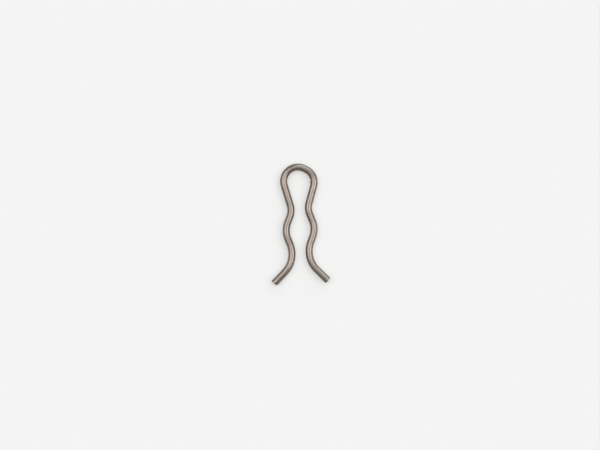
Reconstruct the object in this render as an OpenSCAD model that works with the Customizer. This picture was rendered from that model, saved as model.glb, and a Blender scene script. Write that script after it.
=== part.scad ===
// Spring clip: one length of round spring wire, bent in one plane, in millimetres.
// A bow joins two waved legs. They pinch in at the waist, swell round a pin at the belly,
// pinch in again at the throat and flare out in two straight tails that lead the pin in.
// The clip lies flat on z = 0 with its bow towards +Y, and the pin's axis is the Z axis.

/* [Wire] */
// Diameter of the round wire
wire_d = 2.2; // [1.6:0.05:2.8]
// Slant of the shear cut across both ends of the wire, in degrees from square
cut_slant = 7; // [0:0.5:12]
// Width of the edge that the shear rolls over at both ends
cut_edge = 0.15; // [0.05:0.01:0.3]
// How much thinner the wire is drawn in its bends
bend_draw = 0.02; // [0.01:0.005:0.1]

/* [Bow] */
// Height of the bow's outer top above the pin's axis
bow_top = 20.63; // [19:0.01:23]
// Bend radius of the bow, at the wire's centre line
bow_r = 4.45; // [3.6:0.05:5.1]
// Length of the straight flat between the bow's two bends
bow_flat = 0.65; // [0.25:0.05:2]
// Fall of that flat towards the right leg, in degrees
bow_fall = 30; // [0:1:60]

/* [Waist] */
// Gap between the legs at the waist, between the bow and the pin
waist_gap = 3.24; // [2:0.02:4.6]
// Height of the waist above the pin's axis
waist_up = 6.49; // [5.5:0.01:8.4]
// Bend radius of the waist, at the wire's centre line
waist_r = 5.4; // [3:0.1:6.5]

/* [Belly] */
// Gap between the legs at the belly, where the pin sits
belly_gap = 6.48; // [5.4:0.02:7.6]
// Bend radius of the belly, at the wire's centre line
belly_r = 6.8; // [4:0.1:9]

/* [Throat] */
// Gap between the legs at the throat, which the pin snaps through
throat_gap = 3.16; // [2:0.02:4.6]
// Distance of the throat below the pin's axis
throat_down = 7.11; // [6:0.01:9]
// Bend radius of the throat, at the wire's centre line
throat_r = 8.1; // [5:0.1:10]

/* [Tails] */
// Lean of each tail from the clip's centre line, in degrees
flare = 44.7; // [30:0.1:60]
// Straight length of each tail along its centre line, from the throat's bend to the cut
tail_len = 4.8; // [2:0.1:9]

/* [As formed] */
// How much lower the left leg's bends came out than the right leg's
leg_lag = 0.55; // [0:0.05:1.2]
// How far the bow came out to the left of the legs' centre line
bow_shift = 0.1; // [0:0.05:0.5]

/* [Hidden] */
$fn = 96;

wire_r = wire_d / 2;
// Radius of the wire's section in its bends
drawn_r = wire_r - bend_draw / 2;
// How far a bend's thinner wire runs on inside the runs beside it
bend_lap = 0.1;
// How far a slanted cut runs ahead of the wire's centre line on its longer side
cut_reach = wire_r * tan(cut_slant);

// Distance of the wire's centre line from the clip's centre line at each station of a leg
waist_x = waist_gap / 2 + drawn_r;
belly_x = belly_gap / 2 + drawn_r;
throat_x = throat_gap / 2 + drawn_r;

// The largest sum of two bend radii for which a wave of this rise and sidestep has room
function room(rise, sidestep) = (rise * rise + sidestep * sidestep) / (2 * sidestep);

// The legs' bends tighten together where the waves leave too little room for their radii
upper_room = room(waist_up, belly_x - waist_x) / (waist_r + belly_r);
lower_room = room(throat_down, belly_x - throat_x) / (belly_r + throat_r);
ease = min(1, upper_room, lower_room);
waist_bend = waist_r * ease;
belly_bend = belly_r * ease;
throat_bend = throat_r * ease;

// The wire is bent round pins. A pin holds its centre, the wire's bend radius
// and the side that the wire turns to, on the way from the left tail to the right tail.
RIGHT = 1;
LEFT = -1;
function pin(centre, radius, turn) = [centre, radius, turn];
function centre(pin) = pin[0];
function radius(pin) = pin[1];
function turn(pin) = pin[2];

// A leg's pins, on the clip's left or right side: at half the lag above or below their stations
function in_leg(side, x, y) = [side * x, y + side * leg_lag / 2];
function waist_pin(side) = pin(in_leg(side, waist_x + waist_bend, waist_up), waist_bend, LEFT);
function belly_pin(side) = pin(in_leg(side, belly_x - belly_bend, 0), belly_bend, RIGHT);
function throat_pin(side) = pin(in_leg(side, throat_x + throat_bend, -throat_down), throat_bend, LEFT);

// The bow's two pins, a flat apart
bow_step = bow_flat * [cos(bow_fall), -sin(bow_fall)];
bow_left = [-bow_step.x / 2 - bow_shift, bow_top - drawn_r - bow_r];

pins = [
    throat_pin(LEFT), belly_pin(LEFT), waist_pin(LEFT),
    pin(bow_left, bow_r, RIGHT), pin(bow_left + bow_step, bow_r, RIGHT),
    waist_pin(RIGHT), belly_pin(RIGHT), throat_pin(RIGHT)
];

last_pin = len(pins) - 1;

// The straight run from one pin to the next is their common tangent
function signed_r(pin) = turn(pin) * radius(pin);
function span(i) = centre(pins[i + 1]) - centre(pins[i]);
function offset_r(i) = signed_r(pins[i + 1]) - signed_r(pins[i]);
function run_length(i) = sqrt(span(i) * span(i) - pow(offset_r(i), 2));
function run_heading(i) = atan2(span(i).y, span(i).x) + asin(offset_r(i) / norm(span(i)));

// Length and heading of every straight run, with a tail first and last
tail_heading = 90 - flare;
runs = [tail_len, for (i = [0 : last_pin - 1]) run_length(i), tail_len];
headings = [tail_heading, for (i = [0 : last_pin - 1]) run_heading(i), -tail_heading];

// Where the left tail ends: back along the tail from where it leaves its pin
function along(heading) = [cos(heading), sin(heading)];
function left_of(heading) = [-sin(heading), cos(heading)];
left_end = centre(pins[0]) + signed_r(pins[0]) * left_of(tail_heading) - tail_len * along(tail_heading);

// A straight run of wire along +X
module run(length) {
    rotate([0, 90, 0]) cylinder(h = length, r = wire_r);
}

// A blank for a tail along +Z, with its lower edge rolled over
module tail_blank(length) {
    edge_r = wire_r - cut_edge;
    rotate_extrude() polygon([[0, 0], [edge_r, 0], [wire_r, cut_edge], [wire_r, length], [0, length]]);
}

// A tail along +X from its sheared end at the origin, with the rolled edge on the cut's longer side
module tail() {
    difference() {
        translate([-cut_reach, 0, 0]) rotate([0, 90, 0]) tail_blank(tail_len + cut_reach);
        rotate([0, 0, cut_slant]) translate(-wire_d * [1, 1, 1]) cube(wire_d * [1, 2, 2]);
    }
}

// The bend round a pin, of wire that comes in along +X. It runs on a little inside the runs at both ends.
module bend(pin, angle) {
    lap = bend_lap / radius(pin) * 180 / PI;
    translate([0, -signed_r(pin), 0])
        rotate([0, 0, (turn(pin) == RIGHT ? 90 - angle : -90) - lap])
            rotate_extrude(angle = angle + 2 * lap) translate([radius(pin), 0]) circle(r = drawn_r);
}

// Moves its children to where the wire leaves that bend
module past_bend(pin, angle) {
    translate([0, -signed_r(pin), 0])
        rotate([0, 0, -turn(pin) * angle])
            translate([0, signed_r(pin), 0]) children();
}

// The wire from one of its runs on: the run, the bend after it, then the rest from where that bend ends
module wire_from(i) {
    if (i == 0) tail();
    else if (i > last_pin) translate([tail_len, 0, 0]) rotate([0, 0, 180]) tail();
    else run(runs[i]);
    if (i <= last_pin) {
        angle = abs(headings[i + 1] - headings[i]);
        translate([runs[i], 0, 0]) {
            bend(pins[i], angle);
            past_bend(pins[i], angle) wire_from(i + 1);
        }
    }
}

module clip_wire() {
    color([0.6, 0.55, 0.51])
        translate([left_end.x, left_end.y, wire_r]) rotate([0, 0, tail_heading]) wire_from(0);
}

clip_wire();
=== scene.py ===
import math
from collections import namedtuple

import bmesh
import bpy
from mathutils import Matrix, Vector, noise


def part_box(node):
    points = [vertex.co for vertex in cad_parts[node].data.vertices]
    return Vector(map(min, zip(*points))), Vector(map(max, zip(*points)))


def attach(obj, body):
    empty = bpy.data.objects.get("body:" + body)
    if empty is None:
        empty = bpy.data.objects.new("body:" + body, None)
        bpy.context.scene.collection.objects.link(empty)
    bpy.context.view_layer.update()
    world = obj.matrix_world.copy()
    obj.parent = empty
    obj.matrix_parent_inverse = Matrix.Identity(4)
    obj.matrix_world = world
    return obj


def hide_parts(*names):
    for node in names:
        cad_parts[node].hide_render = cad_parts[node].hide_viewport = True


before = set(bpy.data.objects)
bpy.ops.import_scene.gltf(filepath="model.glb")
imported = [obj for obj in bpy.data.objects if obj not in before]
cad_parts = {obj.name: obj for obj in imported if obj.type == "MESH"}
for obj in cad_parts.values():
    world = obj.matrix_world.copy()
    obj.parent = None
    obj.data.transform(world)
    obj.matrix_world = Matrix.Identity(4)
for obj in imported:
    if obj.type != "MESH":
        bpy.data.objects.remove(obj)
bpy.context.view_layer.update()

MM = 0.001

# Sizes of the bent wire, as the part has them
wire_low, wire_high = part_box("clip_wire")
WIRE_R = (wire_high.z - wire_low.z) / 2
BEND_DRAW = 0.01 * MM
DRAWN_R = WIRE_R - BEND_DRAW
BOW_TOP = wire_high.y
BOW_R = 4.45 * MM
BOW_FLAT = 0.65 * MM
BOW_FALL = math.radians(30)
WAIST_GAP = 3.24 * MM
WAIST_UP = 6.49 * MM
WAIST_R = 5.4 * MM
BELLY_GAP = 6.48 * MM
BELLY_R = 6.8 * MM
THROAT_GAP = 3.16 * MM
THROAT_DOWN = 7.11 * MM
THROAT_R = 8.1 * MM
FLARE = math.radians(44.7)
TAIL_LEN = 4.8 * MM
LEG_LAG = 0.55 * MM
BOW_SHIFT = 0.1 * MM
CUT_SLANT = math.radians(7)

# How far beside a bend the wire is still drawn in
BEND_FADE = 0.4 * MM

# The sheared ends: the rim's rounding, how far the edge on the longer side is rolled over,
# how deep the face is torn where the wire broke off, and the size of the tear's lumps
CUT_EDGE = 0.1 * MM
CUT_ROLL = 0.16 * MM
CUT_TEAR = 0.05 * MM
TEAR_LUMP = 0.3 * MM
# Where the roll and the tear begin and where they are full, from -1 on the shorter side to 1 on
# the longer, and the same for the tear from the rim at 1 to the middle at 0
ROLL_SPAN = (0.3, 1.1)
TEAR_SPAN = (0.45, -0.25)
TEAR_RIM_SPAN = (0.92, 0.7)
# Widths of the rings of faces on an end, from the rim in, as shares of the wire's radius
END_RINGS = (0.02, 0.08, 0.12, 0.14, 0.14, 0.14, 0.14)
# How far at most an end's points lie from the centre of the cut, and from its plane
END_REACH = 1.3 * WIRE_R
END_DEPTH = 2 * CUT_EDGE

# How finely the wire is drawn: its sides, the pitch of its rings, the stretch without rings at each
# end, the spare length that is cut off, and how far the surface stays inside the part's
SIDES = 64
RING_PITCH = 0.2 * MM
END_RUN = 0.9 * MM
END_SPARE = 0.4 * MM
SKIN = 0.001 * MM
# How near a cut's plane, or each other, points are taken as one, in metres
CUT_SNAP = 1e-9
MERGE = 1e-8

# The photograph's frame, and where the clip lies in it
IMAGE_W = 600
PIXEL = 0.3109 * MM
VIEW_CENTRE = Vector((0.0, 1.51 * MM, WIRE_R))
VIEW_ROLL = math.radians(1.12)
LENS = 85
SENSOR = 36

# Colours of the steel: the film on the drawn wire, and an end where it shines and where it is torn
FILM_GREY = (0.264, 0.235, 0.207)
FILM_BROWN = (0.305, 0.248, 0.216)
SHINE_DARK = (0.238, 0.215, 0.195)
SHINE_LIGHT = (0.336, 0.303, 0.276)
TORN_DARK = (0.18, 0.164, 0.149)
TORN_LIGHT = (0.254, 0.23, 0.209)
# The film dims the wire where it is seen edge on
EDGE_TINT = (0.05, 0.05, 0.05)
# The steel's roughness where it is smoothest, and the depth of its draw lines and of an end's grain
SMOOTHEST = 0.22
LINE_DEPTH = 0.02 * MM
GRAIN_DEPTH = 0.05 * MM

# The studio: a pale card with a glow of its own, and walls that darken towards the ceiling,
# which they reach at the sine of an angle above the horizon
CARD_HALF = 6.0
CARD_DROP = 0.01 * MM
BLACK = (0.0, 0.0, 0.0)
CARD_COLOUR = (0.421, 0.425, 0.421)
CARD_GLOW = (0.428, 0.419, 0.417)
HORIZON = (0.905, 0.906, 0.901)
CEILING = (0.18, 0.18, 0.18)
WALL_TOP = 0.26
WARM_WHITE = (1.0, 0.995, 0.985)
COOL_WHITE = (0.92, 0.985, 1.04)


# The wire's path, round its forming pins

# A bend's turn or a leg's side, and the side of its leg that a pin is on
RIGHT = 1
LEFT = -1
OUTSIDE = 1
INSIDE = -1
Pin = namedtuple("Pin", "centre radius turn")


def leg_pins(side):
    """A leg's pins from the waist down."""

    def pin(gap, beside, y, radius, turn):
        x = gap / 2 + DRAWN_R + beside * radius
        return Pin(Vector((side * x, y + side * LEG_LAG / 2)), radius, turn)

    return [
        pin(WAIST_GAP, OUTSIDE, WAIST_UP, WAIST_R, LEFT),
        pin(BELLY_GAP, INSIDE, 0, BELLY_R, RIGHT),
        pin(THROAT_GAP, OUTSIDE, -THROAT_DOWN, THROAT_R, LEFT),
    ]


def bow_pins():
    """The bow's two pins, a short flat apart, with the right one lower."""
    step = BOW_FLAT * Vector((math.cos(BOW_FALL), -math.sin(BOW_FALL)))
    left = Vector((-step.x / 2 - BOW_SHIFT, BOW_TOP - DRAWN_R - BOW_R))
    return [Pin(left, BOW_R, RIGHT), Pin(left + step, BOW_R, RIGHT)]


def along(heading):
    return Vector((math.cos(heading), math.sin(heading)))


def left_of(heading):
    return Vector((-math.sin(heading), math.cos(heading)))


def at_wire_height(point):
    return Vector((point.x, point.y, WIRE_R))


def edges_in(geometry):
    return [item for item in geometry if isinstance(item, bmesh.types.BMEdge)]


def extend(mesh, ring, heading, length, count):
    """Draws a ring of edges out along a heading, in equal steps."""
    steps = max(1, count)
    step = along(heading).to_3d() * length / steps
    for _ in range(steps):
        made = bmesh.ops.extrude_edge_only(mesh, edges=ring)["geom"]
        ring = edges_in(made)
        verts = [item for item in made if isinstance(item, bmesh.types.BMVert)]
        bmesh.ops.translate(mesh, verts=verts, vec=step)
    return ring


class Run:
    """A straight stretch of the wire, begin metres along it."""

    def __init__(self, begin, start, heading, length):
        self.begin = begin
        self.start = start
        self.heading = heading
        self.length = length

    def locate(self, point):
        """A point's distance along the run, and across it to the left."""
        step = point - self.start
        return step.dot(along(self.heading)), step.dot(left_of(self.heading))

    def side(self, distance):
        """The way to the left, the same all along the run."""
        return left_of(self.heading)

    def draw(self, mesh, ring):
        return extend(mesh, ring, self.heading, self.length, round(self.length / RING_PITCH))


class Bend:
    """The wire's bend round a pin, begin metres along it."""

    def __init__(self, begin, pin, heading, angle):
        self.begin = begin
        self.pin = pin
        self.heading = heading
        self.angle = angle
        self.length = angle * pin.radius

    def locate(self, point):
        """A point's distance along the bend, and across it to the left."""
        arm = point - self.pin.centre
        first = self.pin.turn * left_of(self.heading)
        swept = math.atan2(first.cross(arm), first.dot(arm)) * -self.pin.turn
        return swept * self.pin.radius, self.pin.turn * (arm.length - self.pin.radius)

    def side(self, distance):
        """The way to the left, a distance along the bend."""
        return left_of(self.heading - self.pin.turn * distance / self.pin.radius)

    def draw(self, mesh, ring):
        verts = list(dict.fromkeys(vert for edge in ring for vert in edge.verts))
        made = bmesh.ops.spin(
            mesh, geom=verts + ring, cent=at_wire_height(self.pin.centre), axis=(0, 0, -self.pin.turn),
            angle=self.angle, steps=round(self.length / RING_PITCH),
        )
        return edges_in(made["geom_last"])


def wire_path():
    """The wire's runs and bends in order, from the left tail's cut to the right tail's."""
    pins = leg_pins(LEFT)[::-1] + bow_pins() + leg_pins(RIGHT)
    headings = [math.pi / 2 - FLARE]
    lengths = []
    for a, b in zip(pins, pins[1:]):
        span = b.centre - a.centre
        offset = b.turn * b.radius - a.turn * a.radius
        headings.append(math.atan2(span.y, span.x) + math.asin(offset / span.length))
        lengths.append(math.sqrt(span.length_squared - offset ** 2))
    headings.append(-headings[0])
    lengths.append(TAIL_LEN)

    touch = pins[0].centre + pins[0].turn * pins[0].radius * left_of(headings[0])
    path = [Run(0.0, touch - TAIL_LEN * along(headings[0]), headings[0], TAIL_LEN)]
    for pin, before, after, length in zip(pins, headings, headings[1:], lengths):
        path.append(Bend(path[-1].begin + path[-1].length, pin, before, abs(after - before)))
        leave = pin.centre + pin.turn * pin.radius * left_of(after)
        path.append(Run(path[-1].begin + path[-1].length, leave, after, length))
    return path


PATH = wire_path()
LEFT_TAIL, *BETWEEN_TAILS, RIGHT_TAIL = PATH
BENDS = [stretch for stretch in PATH if isinstance(stretch, Bend)]
Place = namedtuple("Place", "along across up outward")


def place_in_wire(co):
    """Where a point lies in the wire as it was before bending, and its direction out of the section."""

    def misfit(stretch):
        distance, across = stretch.locate(co.to_2d())
        return max(0.0, -distance, distance - stretch.length) + abs(across)

    stretch = min(PATH, key=misfit)
    distance, across = stretch.locate(co.to_2d())
    up = co.z - WIRE_R
    outward = (across * stretch.side(distance)).to_3d() + Vector((0, 0, up))
    return Place(stretch.begin + distance, across, up, outward.normalized())


# Small marks that forming and handling left: where along the wire and where round it, at an angle
# from the left side over the top, with half the mark's length and width, and its depth, which is
# below 0 where the steel was pushed up

Mark = namedtuple("Mark", "along around length width depth")
INNER_SIDE = math.pi
LEFT_OF_TOP = math.radians(64)


def where_heading(bend, heading):
    """Distance along the wire to where a bend heads that way, in degrees."""
    return bend.begin + abs(math.radians(heading) - bend.heading) * bend.pin.radius


def tool_marks():
    *_, left_bow, right_bow, _, _, right_throat = BENDS
    bite = where_heading(right_bow, -78)
    ridge = where_heading(right_bow, -91)
    dent = where_heading(left_bow, 79)
    ding = where_heading(right_throat, -79.6)
    return [
        # the bow's forming tool ended at these, and bit deepest into the right bend
        Mark(bite, INNER_SIDE, length=0.55 * MM, width=0.9 * MM, depth=0.1 * MM),
        Mark(ridge, INNER_SIDE, length=0.7 * MM, width=0.9 * MM, depth=-0.15 * MM),
        Mark(dent, INNER_SIDE, length=0.6 * MM, width=0.8 * MM, depth=0.06 * MM),
        # handling left a small ding on the right leg
        Mark(ding, LEFT_OF_TOP, length=0.3 * MM, width=0.25 * MM, depth=0.03 * MM),
    ]


def hollow(t):
    """1 in the middle of a mark, down to 0 at its edge."""
    return max(0.0, 1 - t * t) ** 2


def smooth_step(start, full, x):
    """0 up to the start and 1 from the full value on, with a smooth rise between."""
    t = min(max((x - start) / (full - start), 0.0), 1.0)
    return t * t * (3 - 2 * t)


def mark_depth(mark, place):
    turn = math.atan2(place.up, place.across) - mark.around
    around = math.remainder(turn, 2 * math.pi) * WIRE_R
    return mark.depth * hollow((place.along - mark.along) / mark.length) * hollow(around / mark.width)


def bend_depth(place):
    """How far the wire is drawn in, in the bends and just beside them."""
    inside = max(min(place.along - b.begin, b.begin + b.length - place.along) for b in BENDS)
    return BEND_DRAW * smooth_step(-BEND_FADE, 0.0, inside)


# The wire's mesh, with each point's place in the unbent wire and how torn it is, for the materials

WIRE_PLACE = "drawn_wire"
TORN = "torn"


def drawn_tube():
    """A round tube along the whole path, running on past both cuts."""
    mesh = bmesh.new()
    lay = Matrix.Rotation(LEFT_TAIL.heading, 4, "Z") @ Matrix.Rotation(math.pi / 2, 4, "Y")
    start = at_wire_height(LEFT_TAIL.start - END_SPARE * along(LEFT_TAIL.heading))
    bmesh.ops.create_circle(mesh, segments=SIDES, radius=WIRE_R, matrix=Matrix.Translation(start) @ lay)
    steps = round((TAIL_LEN - END_RUN) / RING_PITCH)
    ring = extend(mesh, mesh.edges[:], LEFT_TAIL.heading, END_RUN + END_SPARE, 1)
    ring = extend(mesh, ring, LEFT_TAIL.heading, TAIL_LEN - END_RUN, steps)
    for stretch in BETWEEN_TAILS:
        ring = stretch.draw(mesh, ring)
    ring = extend(mesh, ring, RIGHT_TAIL.heading, TAIL_LEN - END_RUN, steps)
    extend(mesh, ring, RIGHT_TAIL.heading, END_RUN + END_SPARE, 1)
    return mesh


def close_cut(mesh, rim):
    """Closes a cut with a face, rounds its rim and divides it into rings."""
    bmesh.ops.edgeloop_fill(mesh, edges=rim, mat_nr=1)
    bmesh.ops.bevel(
        mesh, geom=rim, offset=CUT_EDGE, offset_type="OFFSET", affect="EDGES", segments=3, profile=0.5,
        material=-1,
    )
    end = next(face for face in mesh.faces if len(face.verts) >= SIDES)
    for share in END_RINGS:
        bmesh.ops.inset_region(
            mesh, faces=[end], thickness=share * WIRE_R, use_boundary=True, use_even_offset=True,
        )
    bmesh.ops.poke(mesh, faces=[end])


def shear(mesh, point, outward, longer):
    """Cuts a tail off on a slant. Its end is rolled over on the longer side and torn on the other."""
    centre = at_wire_height(point)
    outward = outward.to_3d()
    longer = longer.to_3d()
    cut = bmesh.ops.bisect_plane(
        mesh, geom=mesh.verts[:] + mesh.edges[:] + mesh.faces[:], dist=CUT_SNAP, plane_co=centre,
        plane_no=outward, clear_outer=True,
    )
    close_cut(mesh, edges_in(cut["geom_cut"]))

    torn = mesh.verts.layers.float[TORN]
    for vert in mesh.verts:
        step = vert.co - centre
        height = step.dot(outward)
        if step.length > END_REACH or abs(height) > END_DEPTH:
            continue
        side = step.dot(longer) / WIRE_R
        radial = (step - height * outward).length / WIRE_R
        vert[torn] = smooth_step(*TEAR_SPAN, side)
        lumps = 0.6 + 0.8 * noise.noise(step / TEAR_LUMP)
        tear = vert[torn] * smooth_step(*TEAR_RIM_SPAN, radial) * lumps
        vert.co -= (CUT_ROLL * smooth_step(*ROLL_SPAN, side) + CUT_TEAR * tear) * outward


def bent_wire():
    mesh = drawn_tube()
    mesh.verts.layers.float.new(TORN)
    left, right = LEFT_TAIL.heading, RIGHT_TAIL.heading
    right_tip = RIGHT_TAIL.start + TAIL_LEN * along(right)
    shear(mesh, LEFT_TAIL.start, -along(left + CUT_SLANT), left_of(left))
    shear(mesh, right_tip, along(right + CUT_SLANT), -left_of(right))
    drawn = mesh.verts.layers.float_vector.new(WIRE_PLACE)
    marks = tool_marks()
    for vert in mesh.verts:
        place = place_in_wire(vert.co)
        vert[drawn] = Vector((place.along, place.across, place.up)) / MM
        depth = SKIN + bend_depth(place) + sum(mark_depth(mark, place) for mark in marks)
        vert.co -= depth * math.hypot(place.across, place.up) / WIRE_R * place.outward
    bmesh.ops.remove_doubles(mesh, verts=mesh.verts, dist=MERGE)
    bmesh.ops.recalc_face_normals(mesh, faces=mesh.faces)
    for face in mesh.faces:
        face.smooth = True
    return mesh


# Materials

class Socket:
    """A node's output, with arithmetic that adds the nodes for it."""

    def __init__(self, tree, output):
        self.tree = tree
        self.output = output

    def node(self, kind, inputs, out=0, **settings):
        return add_node(self.tree, kind, inputs, out, **settings)

    def math(self, operation, *values):
        return self.node("ShaderNodeMath", dict(enumerate(values)), operation=operation)

    def __add__(self, other):
        return self.math("ADD", self, other)

    def __sub__(self, other):
        return self.math("SUBTRACT", self, other)

    def __rsub__(self, other):
        return self.math("SUBTRACT", other, self)

    def __mul__(self, other):
        return self.math("MULTIPLY", self, other)

    __radd__ = __add__
    __rmul__ = __mul__

    def between(self, low, high):
        """0 below low and 1 above high, with a smooth rise."""
        return self.node(
            "ShaderNodeMapRange", {"Value": self, "From Min": low, "From Max": high},
            interpolation_type="SMOOTHSTEP", clamp=True,
        )

    def spread(self):
        """Noise, which keeps near its middle, spread from 0 to 1."""
        return self.between(0.3, 0.7)

    def mix(self, low, high):
        """From one colour to another as this goes from 0 to 1."""
        return self.node("ShaderNodeMix", {0: self, 6: low, 7: high}, out=2, data_type="RGBA")

    def stretched(self, *factors):
        return self.node("ShaderNodeVectorMath", {0: self, 1: factors}, operation="MULTIPLY")

    def scaled(self, factor):
        return self.node("ShaderNodeVectorMath", {0: self, "Scale": factor}, operation="SCALE")

    def noise(self, scale, detail):
        """Noise over this vector."""
        return self.node("ShaderNodeTexNoise", {"Vector": self, "Scale": scale, "Detail": detail})

    def streaks(self, squeeze, scale, detail):
        """Noise drawn out along the wire, by squeezing the wire's length by a factor."""
        return self.stretched(squeeze, 1.0, 1.0).noise(scale, detail)

    def bump(self, strength, distance):
        return self.node("ShaderNodeBump", {"Height": self, "Strength": strength, "Distance": distance})


def add_node(tree, kind, inputs, out=0, **settings):
    node = tree.nodes.new(kind)
    for name, value in settings.items():
        setattr(node, name, value)
    for name, value in inputs.items():
        plug(tree, value, node.inputs[name])
    return Socket(tree, node.outputs[out])


def plug(tree, value, target):
    """Links a socket to a node's input, or sets the input to a constant."""
    if isinstance(value, Socket):
        tree.links.new(value.output, target)
    elif target.type == "RGBA" and len(value) == 3:
        target.default_value = (*value, 1.0)
    else:
        target.default_value = value


def attribute(tree, name, out):
    return add_node(tree, "ShaderNodeAttribute", {}, out, attribute_name=name)


def material(name, **constants):
    """A new material, with constants set on its shader."""
    made = bpy.data.materials.new(name)
    made.use_nodes = True
    shader = made.node_tree.nodes["Principled BSDF"]
    for socket, value in constants.items():
        plug(made.node_tree, value, shader.inputs[socket.replace("_", " ")])
    return made, made.node_tree, shader.inputs


def drawn_steel():
    """Lines that drawing left along the wire, under a film that is browner in patches, with specks."""
    made, tree, shader = material("drawn_spring_steel", Metallic=1.0, Specular_Tint=EDGE_TINT)
    wire = attribute(tree, WIRE_PLACE, "Vector")
    fine_lines = wire.streaks(squeeze=0.015, scale=11.0, detail=3.0)
    broad_lines = wire.streaks(squeeze=0.03, scale=1.9, detail=2.0)
    mottle = wire.streaks(squeeze=0.3, scale=0.9, detail=3.0)
    specks = wire.streaks(squeeze=0.5, scale=4.5, detail=1.0).between(0.7, 0.76)
    film = mottle.between(0.36, 0.64).mix(FILM_GREY, FILM_BROWN)
    shade = fine_lines.spread() * 0.14 + broad_lines.spread() * 0.12 + 0.86 - specks * 0.07
    plug(tree, film.scaled(shade), shader["Base Color"])
    plug(tree, fine_lines * 0.12 + broad_lines * 0.06 + SMOOTHEST, shader["Roughness"])
    lines = fine_lines + broad_lines * 0.2
    plug(tree, lines.bump(1.0, LINE_DEPTH), shader["Normal"])
    return made


def sheared_steel():
    """An end: dragged bright by the blade on the longer side, and torn to a dull grain on the other."""
    made, tree, shader = material("sheared_end", Metallic=1.0)
    wire = attribute(tree, WIRE_PLACE, "Vector")
    torn = attribute(tree, TORN, "Fac")
    grain = wire.noise(scale=9.0, detail=3.0)
    drag = wire.stretched(0.4, 0.4, 3.0).noise(scale=3.0, detail=2.0)
    broken = (torn + wire.noise(scale=2.4, detail=4.0) * 1.4).between(0.95, 1.45)
    shine = drag.spread().mix(SHINE_DARK, SHINE_LIGHT)
    dull = grain.spread().mix(TORN_DARK, TORN_LIGHT)
    plug(tree, broken.mix(shine, dull), shader["Base Color"])
    plug(tree, broken * 0.16 + grain * 0.2 + SMOOTHEST, shader["Roughness"])
    rough = broken * grain + (1.0 - broken) * drag * 0.4
    plug(tree, rough.bump(0.8, GRAIN_DEPTH), shader["Normal"])
    return made


def seen_ray(tree):
    """1 on a ray that shows what it meets, straight to the camera or in metal or glass."""
    camera, glossy, transmission = (
        add_node(tree, "ShaderNodeLightPath", {}, out=f"Is {kind} Ray")
        for kind in ("Camera", "Glossy", "Transmission")
    )
    return camera + glossy + transmission


def pale_card():
    made, tree, shader = material(
        "pale_card", Base_Color=CARD_COLOUR, Roughness=1.0, Specular_IOR_Level=0.0, Emission_Strength=1.0,
    )
    plug(tree, seen_ray(tree).mix(BLACK, CARD_GLOW), shader["Emission Color"])
    return made


# Pieces

def card_sheet():
    mesh = bmesh.new()
    under_wire = Matrix.Translation((0, 0, -CARD_DROP))
    bmesh.ops.create_grid(mesh, x_segments=1, y_segments=1, size=CARD_HALF, matrix=under_wire)
    return mesh


def add_piece(name, mesh, *materials):
    data = bpy.data.meshes.new(name)
    mesh.to_mesh(data)
    mesh.free()
    for finish in materials:
        data.materials.append(finish)
    piece = bpy.data.objects.new(name, data)
    bpy.context.scene.collection.objects.link(piece)
    return piece


wire = add_piece("bent_wire", bent_wire(), drawn_steel(), sheared_steel())
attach(wire, "root")
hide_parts("clip_wire")

floor = add_piece("floor", card_sheet(), pale_card())


# Light and camera

def soft_light(name, bearing, lean, width, glow, colour):
    """A wide soft light far off, with its bearing from +X, its lean from overhead and its width
    in degrees, and how bright it looks."""
    lamp = bpy.data.lights.new(name, "SUN")
    lamp.angle = math.radians(width)
    lamp.energy = glow * math.pi * math.sin(lamp.angle / 2) ** 2
    lamp.color = colour
    light = bpy.data.objects.new(name, lamp)
    light.rotation_euler = (0, math.radians(lean), math.radians(bearing))
    bpy.context.scene.collection.objects.link(light)


def studio_walls():
    studio = bpy.data.worlds.new("studio")
    studio.use_nodes = True
    room = studio.node_tree
    way = add_node(room, "ShaderNodeTexCoord", {}, out="Generated")
    height = way.node("ShaderNodeSeparateXYZ", {0: way}, out="Z")
    walls = height.between(0.0, WALL_TOP).mix(HORIZON, CEILING)
    plug(room, walls, room.nodes["Background"].inputs["Color"])
    return studio


def camera_above():
    """The photograph's view, straight down and at its scale."""
    optics = bpy.data.cameras.new("camera")
    optics.lens = LENS
    optics.sensor_width = SENSOR
    camera = bpy.data.objects.new("camera", optics)
    camera.location = VIEW_CENTRE + Vector((0, 0, IMAGE_W * PIXEL * LENS / SENSOR))
    camera.rotation_euler = (0, 0, -VIEW_ROLL)
    bpy.context.scene.collection.objects.link(camera)
    return camera


soft_light("left_soft_light", bearing=163, lean=32, width=46, glow=2.56, colour=WARM_WHITE)
soft_light("right_soft_light", bearing=-3, lean=43, width=43, glow=2.93, colour=WARM_WHITE)
soft_light("back_soft_light", bearing=67, lean=59, width=60, glow=1.8, colour=COOL_WHITE)
soft_light("top_soft_light", bearing=65, lean=5, width=38, glow=0.72, colour=WARM_WHITE)
soft_light("front_soft_light", bearing=-100, lean=45, width=60, glow=0.18, colour=WARM_WHITE)

bpy.context.scene.world = studio_walls()
bpy.context.scene.camera = camera_above()
bpy.context.scene.view_settings.view_transform = "Standard"
